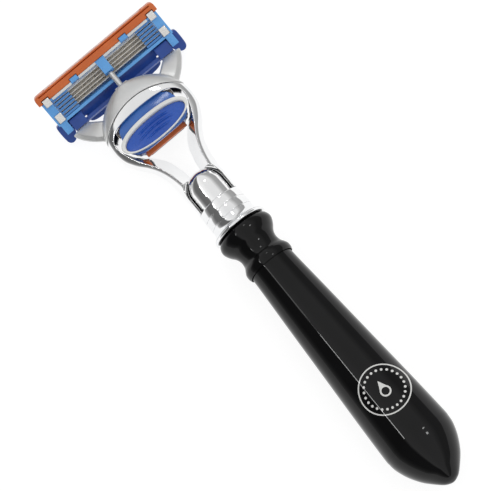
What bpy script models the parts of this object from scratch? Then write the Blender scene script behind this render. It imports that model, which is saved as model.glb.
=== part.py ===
"""Cartridge razor: turned grip, chrome fork, sprung release button and a pivoting five-blade cartridge.

Lengths are in millimetres until mesh_object() scales them to metres. +X runs across the cartridge,
+Y from the grip's tip to the head, and +Z up, away from the blades. The head's parts are measured
from the grip's axis, and along it from a place 0.7 mm above the grip's end. The cartridge's parts
are measured from its hinge: v runs to the trimmer and w out of the cartridge's back.
"""

import math

import bmesh
import bpy
from mathutils import Euler
from mathutils import Vector

MM = 0.001

# The razor as a whole
AXIS_HEIGHT = 10.065         # the grip's axis above the surface that the razor lies on
FRAME_SHIFT = 11.667        # the head's reference point from the middle of the razor's length
GAP = 0.15                  # between fixed pieces that touch
RUNNING_GAP = 0.08          # between a pin and its hole

# Grip, collar and post
GRIP_LENGTH = 87.5
FLANGE_Y = -0.7
FLANGE_RADIUS = 8.2
COLLAR_RADIUS = 6.6
SHOULDER_Y = 8.6
STUD_RADIUS = 2.4
STUD_DEPTH = 14.0
POST_RADIUS = 5.4
POST_TIP_Y = 19.2

# Fork and yoke
SEAM_CENTRE_Y = 26.0
SEAM_RADIUS = 19.3
PIN_Y = 11.2
PIN_RADIUS = 1.0

# Button, ejector and plunger
BUTTON_Y = 35.2
BUTTON_HALF_WIDTH = 11.0
BUTTON_HALF_LENGTH = 3.9
BUTTON_TRAVEL = 3.0
RIM_TOP = 5.4
SKIRT_TOP = 2.9
SKIRT_THICKNESS = 0.8
SKIRT_HALF_WIDTH = 9.2
PLUNGER_HEIGHT = -0.3
PLUNGER_RADIUS = 0.78
PLUNGER_HEAD_RADIUS = 1.0
PLUNGER_TIP_Y = 56.45
EJECTOR_BOTTOM = -2.7
EJECTOR_TOP = -1.6
EJECTOR_HALF_WIDTH = 6.75

# Cartridge
HINGE_Y = 53.5
HINGE_HEIGHT = -4.05
HINGE_PIN_RADIUS = 0.85
CARTRIDGE_TILT = math.radians(30)
HALF_WINDOW = 17.4
HALF_HOUSING = 20.0
BACK_W = 1.5
SKIN_W = -4.5
BLADE_COUNT = 5
BLADE_PITCH = 1.05
BLADE_MIDDLE_V = 5.5
HALF_BLADE = 16.9
CLIP_X = 18.3
CLIP_HALF_WIDTH = 1.05
CLIP_THICKNESS = 0.35

CHROME = ("chrome", (0.86, 0.87, 0.88), 0.08, 1.0)
STEEL = ("steel", (0.62, 0.62, 0.60), 0.25, 1.0)
BLACK_RESIN = ("black_resin", (0.008, 0.008, 0.009), 0.06, 0.0)
GREY_PLASTIC = ("grey_plastic", (0.52, 0.53, 0.54), 0.35, 0.3)
DARK_PLASTIC = ("dark_plastic", (0.02, 0.022, 0.03), 0.4, 0.0)
BLUE_PLASTIC = ("blue_plastic", (0.03, 0.12, 0.5), 0.3, 0.0)
BLUE_RUBBER = ("blue_rubber", (0.015, 0.06, 0.33), 0.45, 0.0)
PALE_BLUE = ("pale_blue", (0.12, 0.4, 0.78), 0.35, 0.0)
IVORY = ("ivory", (0.85, 0.85, 0.82), 0.3, 0.0)
ORANGE = ("orange", (0.75, 0.17, 0.05), 0.4, 0.0)
STRIP = ("lube_strip", (0.7, 0.8, 0.78), 0.5, 0.0)


def clear_scene():
    for item in list(bpy.data.objects):
        bpy.data.objects.remove(item, do_unlink=True)


def material(spec):
    name, colour, roughness, metallic = spec
    found = bpy.data.materials.get(name)
    if found:
        return found
    made = bpy.data.materials.new(name)
    made.use_nodes = True
    shader = made.node_tree.nodes["Principled BSDF"]
    shader.inputs["Base Color"].default_value = (*colour, 1)
    shader.inputs["Roughness"].default_value = roughness
    shader.inputs["Metallic"].default_value = metallic
    return made


def head_place(point):
    """The world place, in metres, of a point given in the head's millimetres."""
    x, y, z = point
    return Vector((x, y + FRAME_SHIFT, z + AXIS_HEIGHT)) * MM


def mesh_object(name, points, faces, spec, origin=(0, 0, 0), parent=None):
    """One closed body from points in millimetres, with its own origin."""
    start = Vector(origin)
    shape = bpy.data.meshes.new(name)
    shape.from_pydata([(Vector(p) - start) * MM for p in points], [], faces)
    work = bmesh.new()
    work.from_mesh(shape)
    bmesh.ops.remove_doubles(work, verts=work.verts, dist=0.001 * MM)
    bmesh.ops.recalc_face_normals(work, faces=work.faces)
    work.to_mesh(shape)
    work.free()
    shape.materials.append(material(spec))
    shape.shade_smooth()
    shape.set_sharp_from_angle(angle=math.radians(35))
    made = bpy.data.objects.new(name, shape)
    bpy.context.scene.collection.objects.link(made)
    if parent:
        made.parent = parent
        made.location = start * MM
    else:
        made.location = head_place(start)
    return made


def loft(name, rings, spec, closed=False, **place):
    """Skin over rings of equal point counts, capped at both ends or closed on itself."""
    points = [p for ring in rings for p in ring]
    count = len(rings[0])
    faces = []
    spans = len(rings) if closed else len(rings) - 1
    for i in range(spans):
        a = i * count
        b = ((i + 1) % len(rings)) * count
        for j in range(count):
            k = (j + 1) % count
            faces.append((a + j, a + k, b + k, b + j))
    if not closed:
        faces.append(tuple(range(count)))
        faces.append(tuple(range(len(points) - count, len(points))))
    return mesh_object(name, points, faces, spec, **place)


def circle(radius, segments):
    turns = [2 * math.pi * (i + 0.5) / segments for i in range(segments)]
    return [(radius * math.cos(t), radius * math.sin(t)) for t in turns]


def turned(name, profile, spec, height=0.0, segments=32, hollow=False, **place):
    """Turn a profile of (y, radius) about an axis along Y. A hollow profile is a closed loop."""
    rings = [[(x, y, z + height) for x, z in circle(r, segments)] for y, r in profile]
    return loft(name, rings, spec, closed=hollow, **place)


def rod_x(name, x0, x1, radius, y, z, spec, segments=16, **place):
    rings = [[(x, y + a, z + b) for a, b in circle(radius, segments)] for x in (x0, x1)]
    return loft(name, rings, spec, **place)


def plate(name, outline, z0, z1, spec, **place):
    """An outline in X and Y, given a thickness in Z."""
    rings = [[(x, y, z) for x, y in outline] for z in (z0, z1)]
    return loft(name, rings, spec, **place)


def bar(name, side, x0, x1, spec, **place):
    """A side view in Y and Z, drawn out along X."""
    rings = [[(x, y, z) for y, z in side] for x in (x0, x1)]
    return loft(name, rings, spec, **place)


def block(name, low, high, spec, **place):
    x0, y0, z0 = low
    x1, y1, z1 = high
    outline = [(x0, y0), (x1, y0), (x1, y1), (x0, y1)]
    return plate(name, outline, z0, z1, spec, **place)


def combine(target, tool, operation):
    """Cut a tool from a piece, or join it to the piece, and hide the tool as a guide."""
    step = target.modifiers.new(operation.lower(), "BOOLEAN")
    step.operation = operation
    step.solver = "EXACT"
    step.object = tool
    tool.hide_render = True
    tool.display_type = "WIRE"


def cut(target, tool):
    combine(target, tool, "DIFFERENCE")


def join(target, tool):
    combine(target, tool, "UNION")


def smooth_curve(points, steps):
    """Points on a Catmull-Rom curve through the given ones."""
    ends = [points[0]] + list(points) + [points[-1]]
    result = []
    for i in range(1, len(ends) - 2):
        a, b, c, d = (Vector(p) for p in ends[i - 1:i + 3])
        for k in range(steps):
            t = k / steps
            near = b * 2 + (c - a) * t
            bend = (a * 2 - b * 5 + c * 4 - d) * t * t
            far = (b * 3 - a - c * 3 + d) * t * t * t
            result.append((near + bend + far) / 2)
    result.append(Vector(points[-1]))
    return result


def mirrored(side):
    """A closed outline from the points of its right side, listed from bottom to top."""
    left = [(-x, y) for x, y in reversed(side) if x > 1e-6]
    return [tuple(p) for p in side] + left


# ---------------------------------------------------------------- grip, collar and post

def make_grip():
    shape = [
        (0.15, 7.1), (1.0, 7.9), (2.45, 8.16), (4.1, 7.45), (5.7, 6.32), (7.3, 5.86), (9.0, 6.08),
        (10.2, 6.75), (11.1, 7.12), (12.2, 7.12), (12.9, 6.85), (13.7, 6.5), (28.5, 7.45), (44.3, 8.43),
        (58.5, 9.33), (70.8, 10.05), (73.4, 10.02), (75.7, 9.65), (78.8, 8.5), (81.9, 6.7), (84.2, 4.75),
        (86.4, 2.45), (87.3, 0.9),
    ]
    outside = [(FLANGE_Y - p.x, p.y) for p in smooth_curve([(a, b, 0) for a, b in shape], 2)]
    tip = [(FLANGE_Y - GRIP_LENGTH, 0.05)]
    turned("grip", outside + tip, BLACK_RESIN, segments=36)
    grip = bpy.data.objects["grip"]
    hole = [(FLANGE_Y + 1, STUD_RADIUS + 0.1), (FLANGE_Y - STUD_DEPTH - 0.5, STUD_RADIUS + 0.1)]
    cut(grip, turned("grip_bore", hole, BLACK_RESIN, segments=16))


def make_collar():
    bore = STUD_RADIUS + 0.1
    groove = COLLAR_RADIUS - 0.3
    outside = [
        (FLANGE_Y, bore), (FLANGE_Y, FLANGE_RADIUS - 0.3), (FLANGE_Y + 0.3, FLANGE_RADIUS),
        (FLANGE_Y + 0.9, FLANGE_RADIUS), (0.9, 7.3), (1.9, 6.75), (2.9, COLLAR_RADIUS), (3.0, groove),
        (3.3, groove), (3.4, COLLAR_RADIUS), (5.6, COLLAR_RADIUS), (5.7, groove), (6.0, groove),
        (6.1, COLLAR_RADIUS), (SHOULDER_Y - 0.2, COLLAR_RADIUS), (SHOULDER_Y, COLLAR_RADIUS - 0.2),
        (SHOULDER_Y, bore),
    ]
    turned("collar", outside, CHROME, hollow=True)


def make_stud():
    ends = [
        (FLANGE_Y - STUD_DEPTH, STUD_RADIUS - 0.4), (FLANGE_Y - STUD_DEPTH + 0.4, STUD_RADIUS),
        (13.6, STUD_RADIUS), (14.0, STUD_RADIUS - 0.4),
    ]
    turned("threaded_stud", ends, STEEL, segments=16)


def make_post():
    base = SHOULDER_Y + GAP
    nose_y = 13.6
    steps = 10
    nose = []
    for k in range(steps):
        turn = math.pi / 2 * k / steps
        nose.append((nose_y + (POST_TIP_Y - nose_y) * math.sin(turn), POST_RADIUS * math.cos(turn)))
    outside = [(base, POST_RADIUS - 0.2), (base + 0.2, POST_RADIUS)]
    turned("post", outside + nose + [(POST_TIP_Y, 0.05)], CHROME)
    post = bpy.data.objects["post"]
    bore = [(base - 1, STUD_RADIUS + 0.1), (14.3, STUD_RADIUS + 0.1)]
    cut(post, turned("post_bore", bore, CHROME, segments=16))
    hole = PIN_RADIUS + RUNNING_GAP
    cut(post, rod_x("post_cross_hole", -8, -STUD_RADIUS - 0.8, hole, PIN_Y, 0, CHROME))
    cut(post, rod_x("post_cross_hole_right", STUD_RADIUS + 0.8, 8, hole, PIN_Y, 0, CHROME))


def make_fork_pins():
    for name, side in (("fork_pin_left", -1), ("fork_pin_right", 1)):
        inner = side * (STUD_RADIUS + 0.95)
        outer = side * (COLLAR_RADIUS - 0.45)
        rod_x(name, min(inner, outer), max(inner, outer), PIN_RADIUS, PIN_Y, 0, STEEL)


# ---------------------------------------------------------------- fork and yoke

def head_outline(y):
    """Half width, half height and squareness of the fork and yoke together, at a place along Y."""
    table = [
        (8.75, 6.45, 6.45, 2.0), (13, 6.45, 6.2, 2.0), (18, 6.6, 5.6, 2.1), (21, 6.9, 5.2, 2.2),
        (23.5, 7.45, 4.9, 2.3), (25.5, 8.2, 4.7, 2.4), (27.5, 9.35, 4.6, 2.4), (30, 11.2, 4.5, 2.6),
        (33, 12.85, 4.4, 2.7), (35.5, 13.45, 4.4, 2.8), (37.4, 13.6, 4.4, 2.8), (40, 13.35, 4.4, 2.8),
        (42, 12.8, 4.35, 2.8), (44.5, 11.6, 4.2, 2.6), (47, 9.7, 3.8, 2.3), (49, 7.1, 3.2, 2.2),
        (50.4, 4.3, 2.6, 2.1), (50.9, 2.4, 2.2, 2.0),
    ]
    for a, b in zip(table, table[1:]):
        if a[0] <= y <= b[0]:
            part = (y - a[0]) / (b[0] - a[0])
            return [p + (q - p) * part for p, q in zip(a[1:], b[1:])]
    return table[-1][1:]


def head_blank(name, spec, stations, segments=32):
    rings = []
    for y in stations:
        width, height, power = head_outline(y)
        ring = []
        for i in range(segments):
            turn = 2 * math.pi * (i + 0.5) / segments
            c = math.cos(turn)
            s = math.sin(turn)
            x = width * math.copysign(abs(c) ** (2 / power), c)
            z = height * math.copysign(abs(s) ** (2 / power), s)
            ring.append((x, y, z))
        rings.append(ring)
    return loft(name, rings, spec)


def arc_outline(radius, centre_y, start, end, steps):
    turns = [math.radians(start + (end - start) * k / steps) for k in range(steps + 1)]
    return [(radius * math.cos(t), centre_y + radius * math.sin(t)) for t in turns]


def opening_tool(name, grow):
    """The fork's window: wide at the front, narrow at the back, as a tool taller than the head."""
    front = [(0, 17.5), (4.3, 17.5), (5.2, 21.3), (5.9, 23.2), (7.1, 25.8), (9.7, 30.2), (11.1, 34.0),
             (11.8, 37.0), (11.3, 39.4), (8.7, 41.3), (4.6, 42.0), (0, 42.2)]
    back = [(0, 17.6), (1.75, 17.6), (1.9, 22.0), (2.3, 24.2), (3.3, 27.7), (6.0, 31.5), (9.0, 34.2),
            (10.8, 37.0), (10.6, 39.4), (8.5, 41.3), (4.5, 42.0), (0, 42.2)]
    reach = 8.0
    face = 4.5
    rings = []
    for z in (-reach, reach):
        part = (z + face) / (2 * face)
        side = []
        for (fx, fy), (bx, by) in zip(front, back):
            x = max(0.0, bx + (fx - bx) * part)
            side.append((x + grow if x > 0 else 0, by + (fy - by) * part))
        rings.append([(x, y, z) for x, y in mirrored(side)])
    return loft(name, rings, CHROME)


def arch_tool(name):
    """The space between the fork's legs, with a round crown over the post."""
    half = POST_RADIUS + 0.25
    crown = 13.6
    rise = 6.1
    side = [(0, 5.0), (half, 5.0)]
    steps = 8
    for k in range(steps + 1):
        turn = math.pi / 2 * k / steps
        side.append((half * math.cos(turn) if k < steps else 0, crown + rise * math.sin(turn)))
    return plate(name, mirrored(side), -9, 9, CHROME)


def slot_tool(name):
    """Room in the yoke for the front of the button's skirt."""
    half = SKIRT_HALF_WIDTH + 0.2
    low = SKIRT_TOP - SKIRT_THICKNESS - 0.2
    return block(name, (-half, 38, low), (half, 42.45 + BUTTON_TRAVEL + 0.4, SKIRT_TOP + 0.25), CHROME)


def make_fork():
    stations = [8.75, 10.9, 13, 15.5, 18, 19.5, 21, 22.3, 23.5, 24.5, 25.5, 26.5, 27.5, 28.7, 30, 31.5,
                33, 34.3, 35.5, 37.4, 40, 42, 43.3, 44.5, 45.6]
    fork = head_blank("fork", CHROME, stations)
    keep = [(-30, -5), (30, -5)] + arc_outline(SEAM_RADIUS, SEAM_CENTRE_Y, 0, 180, 40)
    guide = plate("fork_seam", keep, -12, 12, CHROME)
    combine(fork, guide, "INTERSECT")
    cut(fork, opening_tool("fork_window", 0.0))
    cut(fork, arch_tool("fork_arch"))
    half = SKIRT_HALF_WIDTH + 0.2
    cavity = block("fork_cavity", (-half, 38.3, EJECTOR_BOTTOM - 0.25), (half, 48, SKIRT_TOP + 0.25), CHROME)
    cut(fork, cavity)
    hole = PIN_RADIUS + RUNNING_GAP
    cut(fork, rod_x("fork_cross_hole", -9, 9, hole, PIN_Y, 0, CHROME))


def arm_rings(side):
    """Stations of a yoke arm: middle, heading in plan, half width and half thickness."""
    stations = [
        ((9.6, 43.4, -0.2), 40, 2.9, 1.5), ((12.4, 45.4, -0.6), 55, 2.9, 1.4),
        ((14.4, 47.6, -1.6), 68, 2.9, 1.25), ((15.6, 49.4, -2.7), 80, 2.8, 1.15),
        ((15.9, 50.15, -3.3), 88, 2.7, 1.1),
    ]
    rings = []
    for (x, y, z), heading, width, thick in stations:
        turn = math.radians(heading)
        across = Vector((math.sin(turn), -math.cos(turn), 0))
        middle = Vector((x, y, z))
        ring = []
        for a, b in ((-1, -0.6), (-0.8, -1), (0.6, -1), (1, -0.3), (1, 0.3), (0.6, 1), (-0.8, 1), (-1, 0.6)):
            point = middle + across * (a * width) + Vector((0, 0, b * thick))
            ring.append((side * point.x, point.y, point.z))
        rings.append(ring)
    return rings


def make_yoke():
    stations = [39.0, 41, 43, 44.5, 45.7, 47, 48, 49, 49.8, 50.4, 50.9]
    yoke = head_blank("yoke", GREY_PLASTIC, stations)
    for name, side in (("yoke_arm_left", -1), ("yoke_arm_right", 1)):
        join(yoke, loft(name, arm_rings(side), GREY_PLASTIC))
        inner = side * 14.0
        outer = side * 16.2
        low = (min(inner, outer), 49.6, HINGE_HEIGHT - 0.75)
        high = (max(inner, outer), 53.3, HINGE_HEIGHT + 0.75)
        join(yoke, block(name + "_tongue", low, high, GREY_PLASTIC))
    trim = [(-30, -5), (30, -5)] + arc_outline(SEAM_RADIUS + GAP, SEAM_CENTRE_Y, 0, 180, 40)
    cut(yoke, plate("yoke_seam", trim, -12, 12, GREY_PLASTIC))
    join(yoke, block("yoke_spine", (-2.0, 39.0, -1.45), (2.0, 47, 1.3), GREY_PLASTIC))
    plinth = [(-2.6, 48), (2.6, 48), (2.0, 51.4), (-2.0, 51.4)]
    join(yoke, plate("yoke_plinth", plinth, -1.4, 1.0, GREY_PLASTIC))
    cut(yoke, slot_tool("yoke_slot"))
    low = EJECTOR_BOTTOM - 0.15
    cut(yoke, block("yoke_ejector_slot", (-7.2, 38, low), (7.2, 54, EJECTOR_TOP + 0.15), GREY_PLASTIC))
    cut(yoke, block("yoke_lip_slot", (-5.2, 49.0, -8), (5.2, 54, EJECTOR_TOP + 0.15), GREY_PLASTIC))
    bore = [(40.0, PLUNGER_HEAD_RADIUS + 0.12), (50.2, PLUNGER_HEAD_RADIUS + 0.12)]
    cut(yoke, turned("yoke_plunger_bore", bore, GREY_PLASTIC, height=PLUNGER_HEIGHT, segments=16))
    mouth = [(49, PLUNGER_RADIUS + RUNNING_GAP), (54, PLUNGER_RADIUS + RUNNING_GAP)]
    cut(yoke, turned("yoke_plunger_mouth", mouth, GREY_PLASTIC, height=PLUNGER_HEIGHT, segments=16))


def make_bottom_cover():
    side = [(0, 31.9), (5.6, 31.9), (8.6, 34.4), (10.3, 37.0), (10.1, 39.2), (8.1, 41.0), (4.4, 41.7),
            (0, 41.9)]
    plate("bottom_cover", mirrored(side), -4.0, -3.1, DARK_PLASTIC)


# ---------------------------------------------------------------- button, ejector and plunger

def oval(half_width, half_length, centre_y, steps=28, power=2.2):
    outline = []
    for k in range(steps):
        turn = 2 * math.pi * k / steps
        c = math.cos(turn)
        s = math.sin(turn)
        x = half_width * math.copysign(abs(c) ** (2 / power), c)
        outline.append((x, centre_y + half_length * math.copysign(abs(s) ** (2 / power), s)))
    return outline


def make_button():
    at = (0, BUTTON_Y, 0)
    skirt_side = [(0, 31.6), (6.6, 31.8), (9.0, 33.1), (10.1, 34.8), (10.5, 36.0), (10.0, 37.0),
                  (SKIRT_HALF_WIDTH, 37.9), (SKIRT_HALF_WIDTH, 38.6), (8.3, 40.8), (6.4, 42.0),
                  (3.4, 42.6), (0, 42.7)]
    low = SKIRT_TOP - SKIRT_THICKNESS
    skirt = plate("button_skirt", mirrored(skirt_side), low, SKIRT_TOP, BLUE_PLASTIC, origin=at)
    for side in (-1, 1):
        name = "skirt_post_left" if side < 0 else "skirt_post_right"
        x = side * 4.2
        foot = (x - 1.2, 33.6, EJECTOR_TOP + GAP)
        head = (x + 1.2, 37.4, low + 0.2)
        join(skirt, block(name, foot, head, BLUE_PLASTIC, origin=at))
    rear = block("skirt_rear_wall", (-4.6, 33.0, -1.2), (4.6, 33.9, low + 0.2), BLUE_PLASTIC, origin=at)
    join(skirt, rear)
    rim_rings = []
    for z, inset in ((SKIRT_TOP + GAP, 0.75), (4.3, 0.4), (5.2, 0.05), (RIM_TOP, 0.25)):
        edge = oval(BUTTON_HALF_WIDTH - inset, BUTTON_HALF_LENGTH - inset * 0.6, BUTTON_Y)
        rim_rings.append([(x, y, z) for x, y in edge])
    rim = loft("button_rim", rim_rings, IVORY, origin=at)
    inner = oval(BUTTON_HALF_WIDTH - 1.1, BUTTON_HALF_LENGTH - 0.8, BUTTON_Y - 0.35)
    cut(rim, plate("rim_hole", inner, SKIRT_TOP - 1, 7, IVORY, origin=at))
    pad_outline = oval(BUTTON_HALF_WIDTH - 1.1 - GAP, BUTTON_HALF_LENGTH - 0.8 - GAP, BUTTON_Y - 0.35)
    pad = plate("button_pad", pad_outline, SKIRT_TOP + GAP, 4.3, BLUE_RUBBER, origin=at)
    for k, half in enumerate((4.2, 5.2, 4.4)):
        y = BUTTON_Y - 1.9 + k * 1.45
        ridge = bar("pad_ridge_%d" % (k + 1), [(y, 4.0), (y + 0.7, 4.0), (y + 0.5, 4.65), (y + 0.2, 4.65)],
                    -half, half, BLUE_RUBBER, origin=at)
        join(pad, ridge)


def make_ejector():
    at = (0, 40, EJECTOR_BOTTOM)
    half = EJECTOR_HALF_WIDTH
    body = block("ejector", (-half, 31.6, EJECTOR_BOTTOM), (half, 49.5, EJECTOR_TOP), ORANGE, origin=at)
    nose = [(49.3, EJECTOR_BOTTOM), (49.6, -4.9), (50.8, -4.9), (50.8, EJECTOR_TOP), (49.3, EJECTOR_TOP)]
    join(body, bar("ejector_nose", nose, -4.8, 4.8, ORANGE, origin=at))


def coil(name, y0, y1, height, radius, wire, turns, spec):
    """A coil spring along Y."""
    per_turn = 9
    sides = 5
    count = int(turns * per_turn)
    rings = []
    for i in range(count + 1):
        turn = 2 * math.pi * i / per_turn
        y = y0 + (y1 - y0) * i / count
        ring = []
        for a, b in circle(wire, sides):
            out = radius + a
            ring.append((out * math.cos(turn), y + b, height + out * math.sin(turn)))
        rings.append(ring)
    return loft(name, rings, spec, origin=(0, y0, height))


def make_plunger():
    tip = PLUNGER_TIP_Y
    r = PLUNGER_RADIUS
    profile = [
        (46.2, PLUNGER_HEAD_RADIUS), (47.1, PLUNGER_HEAD_RADIUS), (47.15, r), (54.9, r),
        (tip - 0.7, r - 0.05), (tip - 0.35, r - 0.18), (tip - 0.1, r - 0.42), (tip, 0.15),
    ]
    at = (0, 50, PLUNGER_HEIGHT)
    turned("plunger", profile, GREY_PLASTIC, height=PLUNGER_HEIGHT, segments=16, origin=at)
    coil("plunger_spring", 40.3, 45.9, PLUNGER_HEIGHT, 0.72, 0.14, 8, STEEL)
    coil("button_spring", 34.2, 38.7, -0.2, 0.8, 0.15, 6, STEEL)


# ---------------------------------------------------------------- cartridge

def make_connector():
    at = (0, HINGE_Y, HINGE_HEIGHT)
    y = HINGE_Y
    z = HINGE_HEIGHT
    bridge = block("connector", (-13.2, y - 2.3, z - 1.1), (13.2, y - 1.3, z + 0.1), BLUE_RUBBER, origin=at)
    for side in (-1, 1):
        word = "left" if side < 0 else "right"
        inner = side * 12.9
        outer = side * 17.1
        low = (min(inner, outer), y - 2.9, z - 1.3)
        high = (max(inner, outer), y + 0.6, z + 1.3)
        socket = block("socket_" + word, low, high, BLUE_RUBBER, origin=at)
        join(bridge, socket)
        hole_in = side * 13.8
        hole_out = side * 16.4
        pocket = block("pocket_" + word, (min(hole_in, hole_out), y - 4, z - 0.92),
                       (max(hole_in, hole_out), y - 0.0, z + 0.92), BLUE_RUBBER, origin=at)
        cut(bridge, pocket)
        pin = rod_x("pin_" + word, min(side * 16.9, side * 18.9), max(side * 16.9, side * 18.9),
                    HINGE_PIN_RADIUS, y, z, BLUE_RUBBER, origin=at)
        join(bridge, pin)


def clip_side(grow):
    """A clip's side view in v and w: a flat strap, two legs and two bent-over tabs."""
    t = CLIP_THICKNESS
    low = SKIN_W + 0.1
    back = BACK_W + 0.1 + t
    v0 = 2.2
    v1 = 10.1
    g = grow
    return [
        (v0 - g, low - g), (v1 + g, low - g), (v1 + g, back + g), (v1 - 2.3 - g, back + g),
        (v1 - 2.3 - g, back - t - g), (v1 - t - g, back - t - g), (v1 - t - g, low + t + g),
        (v0 + t + g, low + t + g), (v0 + t + g, back - t - g), (v0 + 2.6 + g, back - t - g),
        (v0 + 2.6 + g, back + g), (v0 - g, back + g),
    ]


def make_housing(pivot):
    side = {"parent": pivot}
    skin = SKIN_W + 0.3
    shell = [(1.65, skin), (9.5, skin), (11.4, -2.6), (11.4, -1.3), (9.15, -1.3), (9.15, BACK_W),
             (1.65, BACK_W)]
    housing = bar("housing", shell, -HALF_HOUSING, HALF_HOUSING, PALE_BLUE, **side)
    window = block("housing_window", (-HALF_WINDOW, 2.45, -9), (HALF_WINDOW, 8.55, 9), PALE_BLUE, **side)
    cut(housing, window)
    centre = [(3.95, 0.75), (5.05, 2.65), (6.6, 2.4), (8.8, 1.5), (8.8, 0.75)]
    join(housing, bar("centre_bar", centre, -1.4, 1.4, PALE_BLUE, **side))
    for sign in (-1, 1):
        word = "left" if sign < 0 else "right"
        inner = sign * 17.45
        outer = sign * 19.6
        low = (min(inner, outer), -1.5, -1.5)
        high = (max(inner, outer), 1.9, BACK_W)
        join(housing, block("ear_" + word, low, high, PALE_BLUE, **side))
        hole = rod_x("ear_hole_" + word, min(sign * 17, sign * 20.4), max(sign * 17, sign * 20.4),
                     HINGE_PIN_RADIUS + RUNNING_GAP, 0, 0, PALE_BLUE, **side)
        cut(housing, hole)
        x0 = sign * CLIP_X - CLIP_HALF_WIDTH - 0.12
        x1 = sign * CLIP_X + CLIP_HALF_WIDTH + 0.12
        cut(housing, bar("clip_slot_" + word, clip_side(0.12), x0, x1, PALE_BLUE, **side))
    seat = [(9.25, -4.0), (11.12, -2.42), (12.0, -3.5), (9.9, -5.2)]
    cut(housing, bar("strip_seat", seat, -16.7, 16.7, PALE_BLUE, **side))


def make_combs(pivot):
    """The ribbed ends of the blade bay, which keep the blade supports apart."""
    for word, sign in (("left", -1), ("right", 1)):
        spine = HALF_WINDOW - GAP
        root = HALF_BLADE + 0.12
        points = [(spine, 2.6), (spine, 8.4)]
        for i in range(BLADE_COUNT, -1, -1):
            middle = BLADE_MIDDLE_V + (i - BLADE_COUNT / 2) * BLADE_PITCH
            points += [(root, middle + 0.3), (12.0, middle + 0.3), (12.0, middle - 0.3), (root, middle - 0.3)]
        outline = [(sign * x, v) for x, v in points]
        plate("blade_comb_" + word, outline, -1.6, 1.15, BLUE_PLASTIC, parent=pivot)


def make_blades(pivot):
    for i in range(BLADE_COUNT):
        v = BLADE_MIDDLE_V + (i - (BLADE_COUNT - 1) / 2) * BLADE_PITCH
        half = 0.07
        support = [(v - half, 0.55), (v - half, -2.95), (v - 0.62, -3.5), (v - 0.54, -3.62),
                   (v + half, -3.02), (v + half, 0.55)]
        bar("blade_support_%d" % (i + 1), support, -HALF_BLADE, HALF_BLADE, STEEL, parent=pivot)
        blade = [(v + 0.24, -3.2), (v - 0.70, -4.05), (v - 0.92, -4.42), (v - 0.64, -4.16), (v + 0.34, -3.3)]
        bar("blade_%d" % (i + 1), blade, -HALF_BLADE, HALF_BLADE, STEEL, parent=pivot)


def make_guard(pivot):
    """The soft guard in front of the blades, with a notch for each arm and fins on its skin side."""
    side = [(0, -4.3), (9.0, -4.2), (11.3, -3.4), (12.3, -1.9), (12.6, -1.0), (16.6, -1.0), (17.3, -2.6),
            (18.3, -4.2), (19.6, -4.8), (20.7, -4.2), (21.1, -2.6), (21.1, 0.6), (20.6, 1.4), (17.2, 1.5),
            (0, 1.5)]
    guard = plate("guard", mirrored(side), SKIN_W + 0.4, -1.85, BLUE_RUBBER, parent=pivot)
    fins = 7
    for k in range(fins):
        v = -3.4 + k * 0.62
        half = 9.0 if k < 3 else 16.0
        name = "guard_fin_%d" % (k + 1)
        fin = bar(name, [(v, SKIN_W + 0.6), (v + 0.3, SKIN_W + 0.6), (v + 0.2, SKIN_W), (v + 0.1, SKIN_W)],
                  -half, half, BLUE_RUBBER, parent=pivot)
        join(guard, fin)


def make_clips(pivot):
    for word, sign in (("left", -1), ("right", 1)):
        x0 = sign * CLIP_X - CLIP_HALF_WIDTH
        x1 = sign * CLIP_X + CLIP_HALF_WIDTH
        bar("clip_" + word, clip_side(0), x0, x1, STEEL, parent=pivot)


def make_trimmer(pivot):
    seat = 9.3
    top = 12.0
    half = 20.7
    outline = [(-half, seat), (half, seat), (half, top - 0.6), (half - 0.6, top), (-half + 0.6, top),
               (-half, top - 0.6)]
    carrier = plate("trimmer_carrier", outline, -1.15, BACK_W + 0.25, ORANGE, parent=pivot)
    for word, sign in (("left", -1), ("right", 1)):
        x0 = sign * CLIP_X - CLIP_HALF_WIDTH - 0.15
        x1 = sign * CLIP_X + CLIP_HALF_WIDTH + 0.15
        cut(carrier, block("carrier_notch_" + word, (x0, 8, -3), (x1, 10.3, 4), ORANGE, parent=pivot))
    slot = block("carrier_slot", (-17.2, 11.0, -0.3), (17.2, 13, 0.5), ORANGE, parent=pivot)
    cut(carrier, slot)
    blade = [(11.15, -0.05), (11.95, 0.05), (12.1, 0.1), (11.95, 0.15), (11.15, 0.25)]
    bar("trimmer_blade", blade, -16.8, 16.8, STEEL, parent=pivot)
    strip = [(9.4, -4.02), (9.72, -4.4), (11.37, -3.04), (11.05, -2.64)]
    bar("lubricating_strip", strip, -16.5, 16.5, STRIP, parent=pivot)


def make_cartridge():
    pivot = bpy.data.objects.new("cartridge_pivot", None)
    bpy.context.scene.collection.objects.link(pivot)
    pivot.location = head_place((0, HINGE_Y, HINGE_HEIGHT))
    pivot.rotation_euler = Euler((CARTRIDGE_TILT, 0, 0))
    make_housing(pivot)
    make_combs(pivot)
    make_blades(pivot)
    make_guard(pivot)
    make_clips(pivot)
    make_trimmer(pivot)


def main():
    clear_scene()
    make_grip()
    make_collar()
    make_stud()
    make_post()
    make_fork_pins()
    make_fork()
    make_yoke()
    make_bottom_cover()
    make_button()
    make_ejector()
    make_plunger()
    make_connector()
    make_cartridge()


main()
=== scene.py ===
"""Looks of the cartridge razor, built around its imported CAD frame.

Lengths are in millimetres until mesh_object() scales them to metres. X runs across the razor, Y
along it toward the cartridge and Z up. Parts are measured from the grip's axis, and along it from a
place 0.7 mm above the grip's end, as in the CAD. The cartridge's own parts are measured from its
hinge: v runs to the trimmer, in the place of Y, and w out of the cartridge's back, in that of Z.
"""

import math

import bmesh
import bpy
from mathutils import Matrix
from mathutils import Vector


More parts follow.
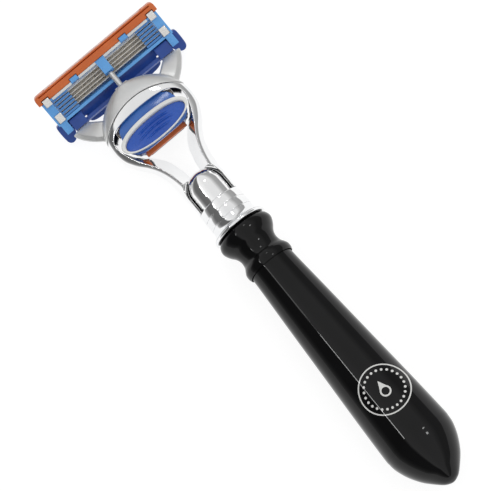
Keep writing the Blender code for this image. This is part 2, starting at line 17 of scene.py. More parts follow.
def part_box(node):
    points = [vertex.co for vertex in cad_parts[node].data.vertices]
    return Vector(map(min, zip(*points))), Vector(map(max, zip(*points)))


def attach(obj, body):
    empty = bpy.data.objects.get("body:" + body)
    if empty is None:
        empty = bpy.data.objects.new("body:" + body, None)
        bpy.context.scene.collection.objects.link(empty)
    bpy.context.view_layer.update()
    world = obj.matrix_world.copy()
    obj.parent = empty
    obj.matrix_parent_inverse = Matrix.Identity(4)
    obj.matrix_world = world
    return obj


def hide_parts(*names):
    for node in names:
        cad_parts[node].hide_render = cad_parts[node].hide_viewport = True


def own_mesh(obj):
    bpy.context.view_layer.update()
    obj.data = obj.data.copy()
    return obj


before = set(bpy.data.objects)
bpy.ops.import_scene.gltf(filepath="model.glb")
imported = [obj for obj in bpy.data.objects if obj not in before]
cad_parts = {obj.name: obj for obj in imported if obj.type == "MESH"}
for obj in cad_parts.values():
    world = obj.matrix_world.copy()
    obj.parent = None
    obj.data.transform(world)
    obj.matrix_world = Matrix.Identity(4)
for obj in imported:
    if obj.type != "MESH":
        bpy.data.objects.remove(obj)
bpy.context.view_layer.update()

MM = 0.001
GRIP_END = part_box("grip")[1].y / MM
COLLAR_LOW, COLLAR_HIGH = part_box("collar")
AXIS_HEIGHT = (COLLAR_LOW.z + COLLAR_HIGH.z) / 2 / MM
FLANGE_Y = -0.7
FRAME_SHIFT = COLLAR_LOW.y / MM - FLANGE_Y

# The fit of pieces that meet.
GAP = 0.15
SLIDE_GAP = 0.2
CAVITY_GAP = 0.25

# Grip, collar and post.
STUD_RADIUS = 2.4
FLANGE_RADIUS = 8.15
COLLAR_RADIUS = 6.6
COLLAR_GROOVES = (3.1, 5.8)
SHOULDER_Y = 8.6
POST_RADIUS = 5.38
POST_TIP_Y = 19.2
PIN_Y = 11.2
PIN_RADIUS = 1.0

# The badge on the grip.
BADGE_X = 1.55
BADGE_FROM_END = 58.7
BADGE_RING = 6.7
BADGE_LINE = 0.17
DOT_COUNT = 24
DOT_RING = 5.3
DOT_RADIUS = 0.34
DROP_BELOW = 0.6
DROP_RADIUS = 1.5
DROP_HOLE = 1.05
DROP_TIP = 2.7
DROP_SLOPE = 2.1

# Fork and yoke. The arch goes round the post's nose, and the seam parts the fork from the yoke.
ARCH_SPRING = 13.6
ARCH_RISE = 6.1
ARCH_GAP = 0.27
# The dark sheet of painted shade in the gap round the post's nose: its top and its depth.
GAP_SHADE_TOP = -1.7
GAP_SHADE_DEPTH = 0.3
SEAM_CENTRE_Y = 26.0
SEAM_RADIUS = 19.3
SEAM_GAP = 0.2
FORK_VOXEL = 0.14
YOKE_VOXEL = 0.15

# Button and ejector.
BUTTON_Y = 35.2
BUTTON_HALF_WIDTH = 11.0
BUTTON_HALF_LENGTH = 3.9
PAD_Y = BUTTON_Y - 0.35
PAD_TOP = 4.3
PAD_DISH = 0.55
RIDGE_HEIGHT = 0.55
RIDGE_WIDTH = 0.24
RIDGE_BEND = 0.022
SKIRT_TOP = 2.9
SKIRT_THICKNESS = 0.8
SKIRT_BOTTOM = SKIRT_TOP - SKIRT_THICKNESS
SKIRT_HALF_WIDTH = 9.2
EJECTOR_BOTTOM = -2.7
EJECTOR_TOP = -1.6
EJECTOR_HALF_WIDTH = 6.75

# Plunger.
PLUNGER_HEIGHT = -0.3
PLUNGER_RADIUS = 0.78
PLUNGER_TIP_Y = 56.45
PLUNGER_NOSE = 0.85

# Cartridge.
HINGE_Y = 53.5
HINGE_HEIGHT = -4.05
HINGE_HOLE_RADIUS = 0.93
CARTRIDGE_TILT = math.radians(30)
HALF_WINDOW = 17.4
HALF_HOUSING = 20.0
BACK_W = 1.5
SKIN_W = -4.5
TAB_X = 8.6
CLIP_X = 18.3
CLIP_HALF_WIDTH = 1.05
CLIP_THICKNESS = 0.35
CLIP_GAP = 0.12
FIN_COUNT = 7
FIN_PITCH = 0.62


# ---------------------------------------------------------------- material nodes

def fill_ramp(ramp, stops):
    """Give a colour ramp its stops, each a position and a colour."""
    while len(ramp.elements) < len(stops):
        ramp.elements.new(0.5)
    for element, (position, colour) in zip(ramp.elements, stops):
        element.position = position
        element.color = (*colour, 1)


class Surface:
    """A Principled material, with helpers that add one node each."""

    def __init__(self, name, roughness=0.3, metallic=0.0, **sockets):
        self.material = bpy.data.materials.new(name)
        self.material.use_nodes = True
        self.tree = self.material.node_tree
        self.shader = self.tree.nodes["Principled BSDF"]
        self.shader.inputs["Roughness"].default_value = roughness
        self.shader.inputs["Metallic"].default_value = metallic
        for socket, value in sockets.items():
            self.shader.inputs[socket.replace("_", " ")].default_value = value
        self.place = self.node("ShaderNodeTexCoord").outputs["Object"]

    def node(self, kind, **settings):
        made = self.tree.nodes.new(kind)
        for key, value in settings.items():
            setattr(made, key, value)
        return made

    def link(self, source, target):
        self.tree.links.new(source, target)

    def stretched(self, scale):
        mapping = self.node("ShaderNodeMapping")
        mapping.inputs["Scale"].default_value = scale
        self.link(self.place, mapping.inputs["Vector"])
        return mapping.outputs["Vector"]

    def noise(self, scale, detail=4.0, stretch=(1, 1, 1)):
        made = self.node("ShaderNodeTexNoise")
        made.inputs["Scale"].default_value = scale
        made.inputs["Detail"].default_value = detail
        self.link(self.stretched(stretch), made.inputs["Vector"])
        return made.outputs["Fac"]

    def math(self, operation, a, b=0.0, c=0.0):
        made = self.node("ShaderNodeMath", operation=operation)
        for socket, value in zip(made.inputs, (a, b, c)):
            if isinstance(value, (int, float)):
                socket.default_value = value
            else:
                self.link(value, socket)
        return made.outputs[0]

    def spread(self, value, low, high):
        """Map a noise's usual range, 0.3 to 0.7, to low and high."""
        made = self.node("ShaderNodeMapRange")
        self.link(value, made.inputs["Value"])
        made.inputs["From Min"].default_value = 0.3
        made.inputs["From Max"].default_value = 0.7
        made.inputs["To Min"].default_value = low
        made.inputs["To Max"].default_value = high
        return made.outputs["Result"]

    def ramp(self, value, stops):
        made = self.node("ShaderNodeValToRGB")
        fill_ramp(made.color_ramp, stops)
        self.link(value, made.inputs["Fac"])
        return made.outputs["Color"]

    def colour(self, source):
        self.link(source, self.shader.inputs["Base Color"])

    def roughness(self, source):
        self.link(source, self.shader.inputs["Roughness"])

    def bump(self, height, strength, distance):
        made = self.node("ShaderNodeBump")
        made.inputs["Strength"].default_value = strength
        made.inputs["Distance"].default_value = distance
        self.link(height, made.inputs["Height"])
        self.link(made.outputs["Normal"], self.shader.inputs["Normal"])

    def mix(self, factor, a, b):
        made = self.node("ShaderNodeMix", data_type="RGBA")
        self.link(factor, made.inputs[0])
        for socket, value in ((made.inputs[6], a), (made.inputs[7], b)):
            if isinstance(value, tuple):
                socket.default_value = (*value, 1)
            else:
                self.link(value, socket)
        return made.outputs[2]


def chrome_surface():
    """Polished chrome with a slight haze and a very shallow waviness."""
    s = Surface("polished_chrome", roughness=0.05, metallic=1.0)
    film = s.noise(60, 5)
    s.colour(s.ramp(film, [(0.3, (0.82, 0.83, 0.84)), (0.7, (0.91, 0.91, 0.91))]))
    s.roughness(s.spread(s.noise(180, 6), 0.03, 0.1))
    s.bump(s.noise(35, 2), 0.04, 0.0004)
    return s.material


def steel_surface(name, dark, light, along=(0.02, 1, 1), metallic=0.85):
    """Brushed steel, with its grain drawn out along the axis whose scale is small."""
    s = Surface(name, metallic=metallic)
    grain = s.noise(5000, 2, along)
    s.colour(s.ramp(grain, [(0.3, dark), (0.7, light)]))
    s.roughness(s.spread(grain, 0.16, 0.34))
    s.bump(grain, 0.15, 0.00003)
    return s.material


def badge_mask(s):
    """A small printed emblem on the grip's top: a ring, a ring of dots and a plain drop."""
    split = s.node("ShaderNodeSeparateXYZ")
    s.link(s.place, split.inputs[0])
    x = s.math("SUBTRACT", split.outputs[0], BADGE_X * MM)
    y = s.math("SUBTRACT", split.outputs[1], (GRIP_END - BADGE_FROM_END) * MM)
    up = s.math("GREATER_THAN", split.outputs[2], AXIS_HEIGHT * MM)

    def length(a, b):
        return s.math("SQRT", s.math("ADD", s.math("MULTIPLY", a, a), s.math("MULTIPLY", b, b)))

    distance = length(x, y)
    off_line = s.math("ABSOLUTE", s.math("SUBTRACT", distance, BADGE_RING * MM))
    ring = s.math("LESS_THAN", off_line, BADGE_LINE * MM)

    along = s.math("MULTIPLY", s.math("ARCTAN2", y, x), DOT_COUNT / (2 * math.pi))
    beat = s.math("SUBTRACT", along, s.math("ROUND", along))
    arc = s.math("MULTIPLY", beat, 2 * math.pi / DOT_COUNT * DOT_RING * MM)
    away = s.math("SUBTRACT", distance, DOT_RING * MM)
    dot = s.math("LESS_THAN", length(arc, away), DOT_RADIUS * MM)

    from_drop = length(x, s.math("ADD", y, DROP_BELOW * MM))
    round_part = s.math("LESS_THAN", from_drop, DROP_RADIUS * MM)
    slope = s.math("ADD", s.math("MULTIPLY", s.math("ABSOLUTE", x), DROP_SLOPE), y)
    below_tip = s.math("LESS_THAN", slope, DROP_TIP * MM)
    tip_part = s.math("MULTIPLY", below_tip, s.math("GREATER_THAN", y, 0.1 * MM))
    hole = s.math("LESS_THAN", from_drop, DROP_HOLE * MM)
    drop = s.math("MULTIPLY", s.math("MAXIMUM", round_part, tip_part), s.math("SUBTRACT", 1.0, hole))
    mark = s.math("MAXIMUM", ring, s.math("MAXIMUM", dot, drop))
    return s.math("MULTIPLY", mark, up)


def resin_surface():
    """Glossy black resin with the printed badge."""
    s = Surface("black_resin", roughness=0.05, IOR=1.33)
    cloud = s.noise(90, 4)
    black = s.ramp(cloud, [(0.3, (0.002, 0.002, 0.0022)), (0.7, (0.004, 0.004, 0.0044))])
    s.colour(s.mix(badge_mask(s), black, (0.78, 0.78, 0.76)))
    s.roughness(s.spread(s.noise(300, 6), 0.03, 0.07))
    return s.material


def plastic_surface(name, dark, light, low=0.25, high=0.4, grain=2500, **sockets):
    """Moulded plastic or rubber: two tones, a roughness between low and high, and a fine grain."""
    s = Surface(name, **sockets)
    s.colour(s.ramp(s.noise(140, 5), [(0.3, dark), (0.7, light)]))
    s.roughness(s.spread(s.noise(grain / 4, 3), low, high))
    s.bump(s.noise(grain, 2), 0.25, 0.00002)
    return s.material


SURFACES = {
    "chrome": chrome_surface(),
    "steel": steel_surface("brushed_steel", (0.50, 0.48, 0.45), (0.74, 0.73, 0.71)),
    "blade": steel_surface("blade_steel", (0.92, 0.91, 0.89), (0.97, 0.96, 0.95), metallic=0.1),
    "support": steel_surface("support_steel", (0.80, 0.76, 0.69), (0.88, 0.85, 0.79), metallic=0.0),
    "clip": steel_surface("clip_steel", (0.66, 0.65, 0.62), (0.86, 0.85, 0.83), (1, 0.05, 1)),
    "black_resin": resin_surface(),
    "grey_plastic": plastic_surface("satin_grey", (0.64, 0.65, 0.65), (0.74, 0.74, 0.73), 0.30, 0.42,
                                    3000, metallic=0.6),
    # Dark plastic for the bottom cover, also used as painted shade in the gap round the post's nose.
    "dark_plastic": plastic_surface("dark_plastic", (0.012, 0.014, 0.02), (0.022, 0.025, 0.034), 0.3, 0.45),
    "blue_plastic": plastic_surface("deep_blue", (0.018, 0.11, 0.46), (0.035, 0.17, 0.58), 0.15, 0.28,
                                    Coat_Weight=0.3, Coat_Roughness=0.1),
    "pad": plastic_surface("pad_rubber", (0.015, 0.085, 0.46), (0.026, 0.12, 0.56), 0.22, 0.35, 1800),
    "blue_rubber": plastic_surface("blue_rubber", (0.008, 0.05, 0.28), (0.015, 0.078, 0.37),
                                   0.3, 0.45, 1800),
    "pale_blue": plastic_surface("pale_blue", (0.10, 0.36, 0.80), (0.15, 0.44, 0.88), 0.2, 0.35),
    "ivory": plastic_surface("ivory", (0.84, 0.85, 0.83), (0.92, 0.92, 0.89), 0.15, 0.3,
                             Coat_Weight=0.3, Coat_Roughness=0.1),
    "orange": plastic_surface("orange", (0.63, 0.125, 0.018), (0.72, 0.16, 0.03), 0.25, 0.4),
    "lube_strip": plastic_surface("lubricating_strip", (0.55, 0.72, 0.70), (0.72, 0.84, 0.80),
                                  0.35, 0.6, 900),
    "frost": plastic_surface("frosted_edge", (0.72, 0.74, 0.74), (0.84, 0.85, 0.84), 0.2, 0.35),
    "comb": plastic_surface("comb_blue", (0.05, 0.21, 0.56), (0.09, 0.30, 0.68), 0.2, 0.35),
}


# ---------------------------------------------------------------- mesh helpers

CARTRIDGE_PLACE = (
    Matrix.Translation(Vector((0, HINGE_Y, HINGE_HEIGHT)))
    @ Matrix.Rotation(CARTRIDGE_TILT, 4, "X")
)
HEAD_PLACE = Matrix.Scale(MM, 4) @ Matrix.Translation(Vector((0, FRAME_SHIFT, AXIS_HEIGHT)))


def mesh_object(name, points, faces, surface, tilted=False, sharp=35):
    """A mesh in the row frame. Tilted points are the cartridge's own."""
    place = HEAD_PLACE @ CARTRIDGE_PLACE if tilted else HEAD_PLACE
    shape = bpy.data.meshes.new(name)
    shape.from_pydata([place @ Vector(p) for p in points], [], faces)
    work = bmesh.new()
    work.from_mesh(shape)
    bmesh.ops.remove_doubles(work, verts=work.verts, dist=0.0005 * MM)
    bmesh.ops.recalc_face_normals(work, faces=work.faces)
    work.to_mesh(shape)
    work.free()
    shape.materials.append(SURFACES[surface])
    shape.shade_smooth()
    shape.set_sharp_from_angle(angle=math.radians(sharp))
    made = bpy.data.objects.new(name, shape)
    bpy.context.scene.collection.objects.link(made)
    made["surface"] = surface
    return made


def loft(name, rings, surface, closed=False, **rest):
    """A skin over rings of equal length, with end caps, or closed from the last ring to the first."""
    points = [p for ring in rings for p in ring]
    count = len(rings[0])
    faces = []
    spans = len(rings) if closed else len(rings) - 1
    for i in range(spans):
        a = i * count
        b = ((i + 1) % len(rings)) * count
        for j in range(count):
            k = (j + 1) % count
            faces.append((a + j, a + k, b + k, b + j))
    if not closed:
        faces.append(tuple(range(count)))
        faces.append(tuple(range(len(points) - count, len(points))))
    return mesh_object(name, points, faces, surface, **rest)


def circle(radius, segments):
    turns = [2 * math.pi * (i + 0.5) / segments for i in range(segments)]
    return [(radius * math.cos(t), radius * math.sin(t)) for t in turns]


def turned(name, profile, surface, height=0.0, segments=96, hollow=False, **rest):
    """A form turned round Y, from a profile of places and radii."""
    rings = [[(x, y, z + height) for x, z in circle(r, segments)] for y, r in profile]
    return loft(name, rings, surface, closed=hollow, **rest)


def rod_x(name, x0, x1, radius, y, z, surface, segments=32, **rest):
    rings = [[(x, y + a, z + b) for a, b in circle(radius, segments)] for x in (x0, x1)]
    return loft(name, rings, surface, **rest)


def plate(name, outline, z0, z1, surface, **rest):
    """An outline in X and Y, made thick along Z."""
    rings = [[(x, y, z) for x, y in outline] for z in (z0, z1)]
    return loft(name, rings, surface, **rest)


def bar(name, side, x0, x1, surface, **rest):
    """A side view in Y and Z, made long along X."""
    rings = [[(x, y, z) for y, z in side] for x in (x0, x1)]
    return loft(name, rings, surface, **rest)


def block(name, low, high, surface, **rest):
    x0, y0, z0 = low
    x1, y1, z1 = high
    outline = [(x0, y0), (x1, y0), (x1, y1), (x0, y1)]
    return plate(name, outline, z0, z1, surface, **rest)


def combine(target, tool, operation):
    """Apply a Boolean at once and delete its tool."""
    step = target.modifiers.new("combine", "BOOLEAN")
    step.operation = operation
    step.solver = "EXACT"
    step.object = tool
    freeze(target)
    bpy.data.objects.remove(tool, do_unlink=True)


def cut(target, tool):
    combine(target, tool, "DIFFERENCE")


def join(target, tool):
    combine(target, tool, "UNION")


def freeze(item):
    """Apply an object's modifiers to its mesh."""
    graph = bpy.context.evaluated_depsgraph_get()
    shape = bpy.data.meshes.new_from_object(item.evaluated_get(graph))
    item.modifiers.clear()
    old = item.data
    item.data = shape
    bpy.data.meshes.remove(old)


def bevel(item, width, segments=2, angle=30):
    """Round the edges that turn by more than the angle."""
    step = item.modifiers.new("bevel", "BEVEL")
    step.width = width * MM
    step.segments = segments
    step.limit_method = "ANGLE"
    step.angle_limit = math.radians(angle)
    step.miter_outer = "MITER_ARC"
    step.use_clamp_overlap = True
    freeze(item)
    item.data.shade_smooth()
    item.data.set_sharp_from_angle(angle=math.radians(50))
    return item


def soften(item, voxel, rounds):
    """Rebuild a Boolean result as an even skin with rounded edges."""
    remesh = item.modifiers.new("remesh", "REMESH")
    remesh.mode = "VOXEL"
    remesh.voxel_size = voxel * MM
    remesh.use_smooth_shade = True
    relax = item.modifiers.new("relax", "SMOOTH")
    relax.factor = 0.5
    relax.iterations = rounds
    freeze(item)
    item.data.materials.clear()
    item.data.materials.append(SURFACES[item["surface"]])
    item.data.shade_smooth()


def settle(item, body, *nodes):
    """Ride a finished piece on its body, in place of its CAD nodes."""
    del item["surface"]
    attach(item, body)
    if nodes:
        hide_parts(*nodes)
    return item


def smooth_curve(points, steps):
    """A smooth curve through the points, with so many steps between each two."""
    ends = [points[0]] + list(points) + [points[-1]]
    result = []
    for i in range(1, len(ends) - 2):
        a, b, c, d = (Vector(p) for p in ends[i - 1:i + 3])
        for k in range(steps):
            t = k / steps
            near = b * 2 + (c - a) * t
            bend = (a * 2 - b * 5 + c * 4 - d) * t * t
            far = (b * 3 - a - c * 3 + d) * t * t * t
            result.append((near + bend + far) / 2)
    result.append(Vector(points[-1]))
    return result


def mirrored(side):
    """A whole outline from its right half, which starts and ends on the middle line."""
    left = [(-x, y) for x, y in reversed(side) if x > 1e-6]
    return [tuple(p) for p in side] + left


def smooth_side(side, steps):
    return [(max(0.0, p.x), p.y) for p in smooth_curve([(x, y, 0) for x, y in side], steps)]


def arc_outline(radius, centre_y, start, end, steps):
    turns = [math.radians(start + (end - start) * k / steps) for k in range(steps + 1)]
    return [(radius * math.cos(t), centre_y + radius * math.sin(t)) for t in turns]


def oval(half_width, half_length, centre_y, steps=96, power=2.2):
    """An outline between an ellipse, power 2, and a rectangle."""
    outline = []
    for k in range(steps):
        turn = 2 * math.pi * k / steps
        c = math.cos(turn)
        s = math.sin(turn)
        x = half_width * math.copysign(abs(c) ** (2 / power), c)
        outline.append((x, centre_y + half_length * math.copysign(abs(s) ** (2 / power), s)))
    return outline


# ---------------------------------------------------------------- grip, collar and post

def make_grip():
    """The turned grip: bulb, waist, bead and a long body that swells toward its tail."""
    shape = [
        (0.15, 7.1), (1.0, 7.9), (2.45, 8.16), (4.1, 7.45), (5.7, 6.32), (7.3, 5.86), (9.0, 6.08),
        (10.2, 6.75), (11.1, 7.12), (12.2, 7.12), (12.9, 6.85), (13.7, 6.5), (28.5, 7.45), (44.3, 8.43),
        (58.5, 9.33), (70.8, 9.99), (73.4, 9.97), (75.7, 9.64), (78.8, 8.5), (81.9, 6.7), (84.2, 4.75),
        (86.4, 2.45), (87.2, 0.9),
    ]
    curve = smooth_curve([(a, b, 0) for a, b in shape], 8)
    face = [(FLANGE_Y - 0.15, STUD_RADIUS)]
    outside = face + [(FLANGE_Y - p.x, p.y) for p in curve]
    tip = [(FLANGE_Y - 87.3, 0.5), (FLANGE_Y - 87.36, 0.05)]
    settle(turned("grip_shell", outside + tip, "black_resin", segments=128), "handle", "grip")


def rounded_step(y, radius, depth, width):
    """A shallow turned groove with round lips, as profile points."""
    lip = 0.06
    half = width / 2
    return [
        (y - half - lip, radius), (y - half, radius - lip / 2), (y - half + 0.02, radius - depth),
        (y + half - 0.02, radius - depth), (y + half, radius - lip / 2), (y + half + lip, radius),
    ]


def make_collar():
    """The chrome sleeve, with a rounded flange against the grip and two fine grooves."""
    bore = STUD_RADIUS + 0.1
    r = FLANGE_RADIUS
    flare = smooth_curve([(0.35, r - 0.25, 0), (0.8, 7.3, 0), (1.6, 6.82, 0), (2.5, COLLAR_RADIUS, 0)], 6)
    lip = []
    for k in range(9):
        turn = math.pi * (k / 8)
        lip.append((-0.2 - 0.45 * math.cos(turn), r - 0.45 + 0.45 * math.sin(turn)))
    outside = [(FLANGE_Y, bore), (FLANGE_Y, r - 1.0)] + lip + [(p.x, p.y) for p in flare]
    for groove in COLLAR_GROOVES:
        outside += rounded_step(groove, COLLAR_RADIUS, 0.22, 0.26)
    top = SHOULDER_Y
    outside += [(top - 0.3, COLLAR_RADIUS), (top - 0.1, COLLAR_RADIUS - 0.08),
                (top, COLLAR_RADIUS - 0.3), (top, bore)]
    settle(turned("collar_shell", outside, "chrome", hollow=True, sharp=60), "handle", "collar")


def make_gap_shade(base):
    """A dark sheet of painted shade that fills the gap between the post and the fork's arch."""
    touch = 0.02
    wide = POST_RADIUS + ARCH_GAP - touch
    narrow = POST_RADIUS + touch
    outside = [(wide, base)]
    inside = [(narrow, base)]
    for k in range(61):
        turn = math.pi * k / 60
        c = math.cos(turn)
        s = math.sin(turn)
        outside.append((wide * c, ARCH_SPRING + (ARCH_RISE - touch) * s))
        inside.append((narrow * c, ARCH_SPRING + (POST_TIP_Y + touch - ARCH_SPRING) * s))
    outside.append((-wide, base))
    inside.append((-narrow, base))
    bottom = GAP_SHADE_TOP - GAP_SHADE_DEPTH
    rings = []
    for edge, z in ((outside, GAP_SHADE_TOP), (inside, GAP_SHADE_TOP), (inside, bottom), (outside, bottom)):
        rings.append([(x, y, z) for x, y in edge])
    points = [p for ring in rings for p in ring]
    count = len(outside)
    faces = []
    for i in range(4):
        a = i * count
        b = (i + 1) % 4 * count
        faces += [(a + j, a + j + 1, b + j + 1, b + j) for j in range(count - 1)]
    faces += [tuple(i * count for i in range(4)), tuple((i + 1) * count - 1 for i in range(4))]
    settle(mesh_object("arch_gap_shade", points, faces, "dark_plastic"), "handle")


def make_post():
    """The post's bullet, a sheet of painted shade round it, and the two pins through the fork's legs."""
    base = SHOULDER_Y + GAP
    rounds = 28
    nose = []
    for k in range(rounds):
        turn = math.pi / 2 * k / rounds
        y = ARCH_SPRING + (POST_TIP_Y - ARCH_SPRING) * math.sin(turn)
        nose.append((y, POST_RADIUS * math.cos(turn)))
    r = POST_RADIUS
    outside = [(base, STUD_RADIUS), (base, r - 0.2), (base + 0.06, r - 0.06), (base + 0.2, r)]
    outside += nose + [(POST_TIP_Y, 0.03)]
    settle(turned("post_shell", outside, "chrome", sharp=50), "handle", "post")
    make_gap_shade(base)
    for word, side in (("left", -1), ("right", 1)):
        x0, x1 = sorted((side * (STUD_RADIUS + 1.0), side * (POST_RADIUS - 0.08)))
        pin = rod_x("pin_shell_" + word, x0, x1, PIN_RADIUS, PIN_Y, 0, "steel")
        settle(pin, "handle", "fork_pin_" + word)


# ---------------------------------------------------------------- fork and yoke

HEAD_TABLE = [
    (8.75, 6.45, 6.45, 2.0), (13, 6.45, 6.2, 2.0), (18, 6.6, 5.6, 2.1), (21, 6.9, 5.2, 2.2),
    (23.5, 7.45, 4.9, 2.3), (25.5, 8.2, 4.7, 2.4), (27.5, 9.35, 4.6, 2.4), (30, 11.2, 4.5, 2.6),
    (33, 12.85, 4.4, 2.7), (35.5, 13.45, 4.4, 2.8), (37.4, 13.55, 4.4, 2.8), (40, 13.35, 4.4, 2.8),
    (42, 12.8, 4.35, 2.8), (44.5, 11.6, 4.2, 2.6), (47, 9.7, 3.8, 2.3), (49, 7.1, 3.2, 2.2),
    (50.4, 4.3, 2.6, 2.1), (50.9, 2.4, 2.2, 2.0),
]


def head_blank(name, surface, start, end, count, segments=128):
    """The fork's and the yoke's common outer form, between two places along Y."""
    curve = smooth_curve([Vector(row) for row in HEAD_TABLE], 12)
    rings = []
    for k in range(count + 1):
        y = start + (end - start) * k / count
        row = curve[-1]
        for a, b in zip(curve, curve[1:]):
            if a[0] <= y <= b[0]:
                part = (y - a[0]) / (b[0] - a[0])
                row = a.lerp(b, part)
                break
        ring = []
        for i in range(segments):
            turn = 2 * math.pi * (i + 0.5) / segments
            c = math.cos(turn)
            s = math.sin(turn)
            x = row[1] * math.copysign(abs(c) ** (2 / row[3]), c)
            z = row[2] * math.copysign(abs(s) ** (2 / row[3]), s)
            ring.append((x, y, z))
        rings.append(ring)
    return loft(name, rings, surface)


def opening_tool():
    """The fork's window, wide on the button side and narrow on the skin side."""
    front = [(0, 17.5), (4.3, 17.5), (5.2, 21.3), (5.9, 23.2), (7.1, 25.8), (9.7, 30.2), (11.1, 34.0),
             (11.8, 37.0), (11.3, 39.4), (8.7, 41.3), (4.6, 42.0), (0, 42.2)]
    back = [(0, 17.6), (1.75, 17.6), (1.9, 22.0), (2.3, 24.2), (3.3, 27.7), (6.0, 31.5), (9.0, 34.2),
            (10.8, 37.0), (10.6, 39.4), (8.5, 41.3), (4.5, 42.0), (0, 42.2)]
    front_curve = [front[0]] + smooth_side(front[1:], 6)
    back_curve = [back[0]] + smooth_side(back[1:], 6)
    reach = 8.0
    face = 4.5   # the height at which the front and back outlines hold
    rings = []
    for z in (-reach, reach):
        part = (z + face) / (2 * face)
        side = []
        for (fx, fy), (bx, by) in zip(front_curve, back_curve):
            side.append((max(0.0, bx + (fx - bx) * part), by + (fy - by) * part))
        rings.append([(x, y, z) for x, y in mirrored(side)])
    return loft("window_tool", rings, "chrome")


def arch_tool():
    """The room for the post, with its arch."""
    half = POST_RADIUS + ARCH_GAP
    steps = 24
    side = [(0, 5.0), (half, 5.0)]
    for k in range(steps + 1):
        turn = math.pi / 2 * k / steps
        side.append((half * math.cos(turn) if k < steps else 0, ARCH_SPRING + ARCH_RISE * math.sin(turn)))
    return plate("arch_tool", mirrored(side), -9, 9, "chrome")


def make_fork():
    """The chrome fork: the head's form up to the seam, less its window, its arch and the cavity."""
    fork = head_blank("fork_shell", "chrome", 8.78, 45.6, 90)
    keep = [(-30, -5), (30, -5)] + arc_outline(SEAM_RADIUS, SEAM_CENTRE_Y, 0, 180, 120)
    combine(fork, plate("seam_tool", keep, -12, 12, "chrome"), "INTERSECT")
    cut(fork, opening_tool())
    cut(fork, arch_tool())
    half = SKIRT_HALF_WIDTH + SLIDE_GAP
    low = (-half, 38.3, EJECTOR_BOTTOM - CAVITY_GAP)
    high = (half, 48, SKIRT_TOP + CAVITY_GAP)
    cut(fork, block("cavity_tool", low, high, "chrome"))
    soften(fork, FORK_VOXEL, 4)
    settle(fork, "handle", "fork")


def arm_rings(side):
    """The yoke's arm as rings round a curve: flat on top, with a bevelled outer edge."""
    path = [((9.6, 43.4, -0.2), 40, 2.9, 1.5), ((12.4, 45.4, -0.6), 55, 2.9, 1.4),
            ((14.4, 47.6, -1.6), 68, 2.9, 1.25), ((15.6, 49.4, -2.7), 80, 2.8, 1.15),
            ((15.9, 50.15, -3.3), 88, 2.7, 1.1)]
    rows = [Vector((*middle, heading, width, thick)) for middle, heading, width, thick in path]
    section = ((-1, -0.6), (-0.8, -1), (0.6, -1), (1, -0.3), (1, 0.3), (0.6, 1), (-0.8, 1), (-1, 0.6))
    rings = []
    for row in smooth_curve(rows, 8):
        turn = math.radians(row[3])
        across = Vector((math.sin(turn), -math.cos(turn), 0))
        ring = []
        for a, b in section:
            point = Vector(row[:3]) + across * (a * row[4]) + Vector((0, 0, b * row[5]))
            ring.append((side * point.x, point.y, point.z))
        rings.append(ring)
    return rings


def make_yoke():
    """The grey yoke: the head's form beyond the seam, with arms, and slots for what slides in it."""
    yoke = head_blank("yoke_shell", "grey_plastic", 39.0, 50.9, 40)
    for side in (-1, 1):
        join(yoke, loft("arm_tool", arm_rings(side), "grey_plastic"))
        inner = side * 14.0
        outer = side * 16.2
        low = (min(inner, outer), 49.6, HINGE_HEIGHT - 0.75)
        high = (max(inner, outer), 53.3, HINGE_HEIGHT + 0.75)
        join(yoke, block("tongue_tool", low, high, "grey_plastic"))
    trim = [(-30, -5), (30, -5)] + arc_outline(SEAM_RADIUS + SEAM_GAP, SEAM_CENTRE_Y, 0, 180, 120)
    cut(yoke, plate("seam_tool", trim, -12, 12, "grey_plastic"))
    join(yoke, block("spine_tool", (-2.0, 39.0, -1.45), (2.0, 47, 1.3), "grey_plastic"))
    plinth = [(-2.6, 48), (2.6, 48), (2.0, 51.4), (-2.0, 51.4)]
    join(yoke, plate("plinth_tool", plinth, -1.4, 1.0, "grey_plastic"))
    half = SKIRT_HALF_WIDTH + SLIDE_GAP
    low = SKIRT_BOTTOM - SLIDE_GAP
    slot = [(0, 38), (half, 38), (half, 41.9), (8.6, 44.0), (6.7, 45.3), (3.6, 45.9), (0, 46.0)]
    cut(yoke, plate("slot_tool", mirrored(slot), low, SKIRT_TOP + CAVITY_GAP, "grey_plastic"))
    low = EJECTOR_BOTTOM - GAP
    high = EJECTOR_TOP + GAP
    cut(yoke, block("ejector_tool", (-7.2, 38, low), (7.2, 54, high), "grey_plastic"))
    cut(yoke, block("lip_tool", (-5.2, 49.0, -8), (5.2, 54, high), "grey_plastic"))
    bore = [(40.0, 1.12), (50.2, 1.12)]
    cut(yoke, turned("bore_tool", bore, "grey_plastic", height=PLUNGER_HEIGHT, segments=32))
    mouth = [(49, 0.9), (54, 0.9)]
    cut(yoke, turned("mouth_tool", mouth, "grey_plastic", height=PLUNGER_HEIGHT, segments=32))
    soften(yoke, YOKE_VOXEL, 3)
    settle(yoke, "handle", "yoke")


# ---------------------------------------------------------------- button

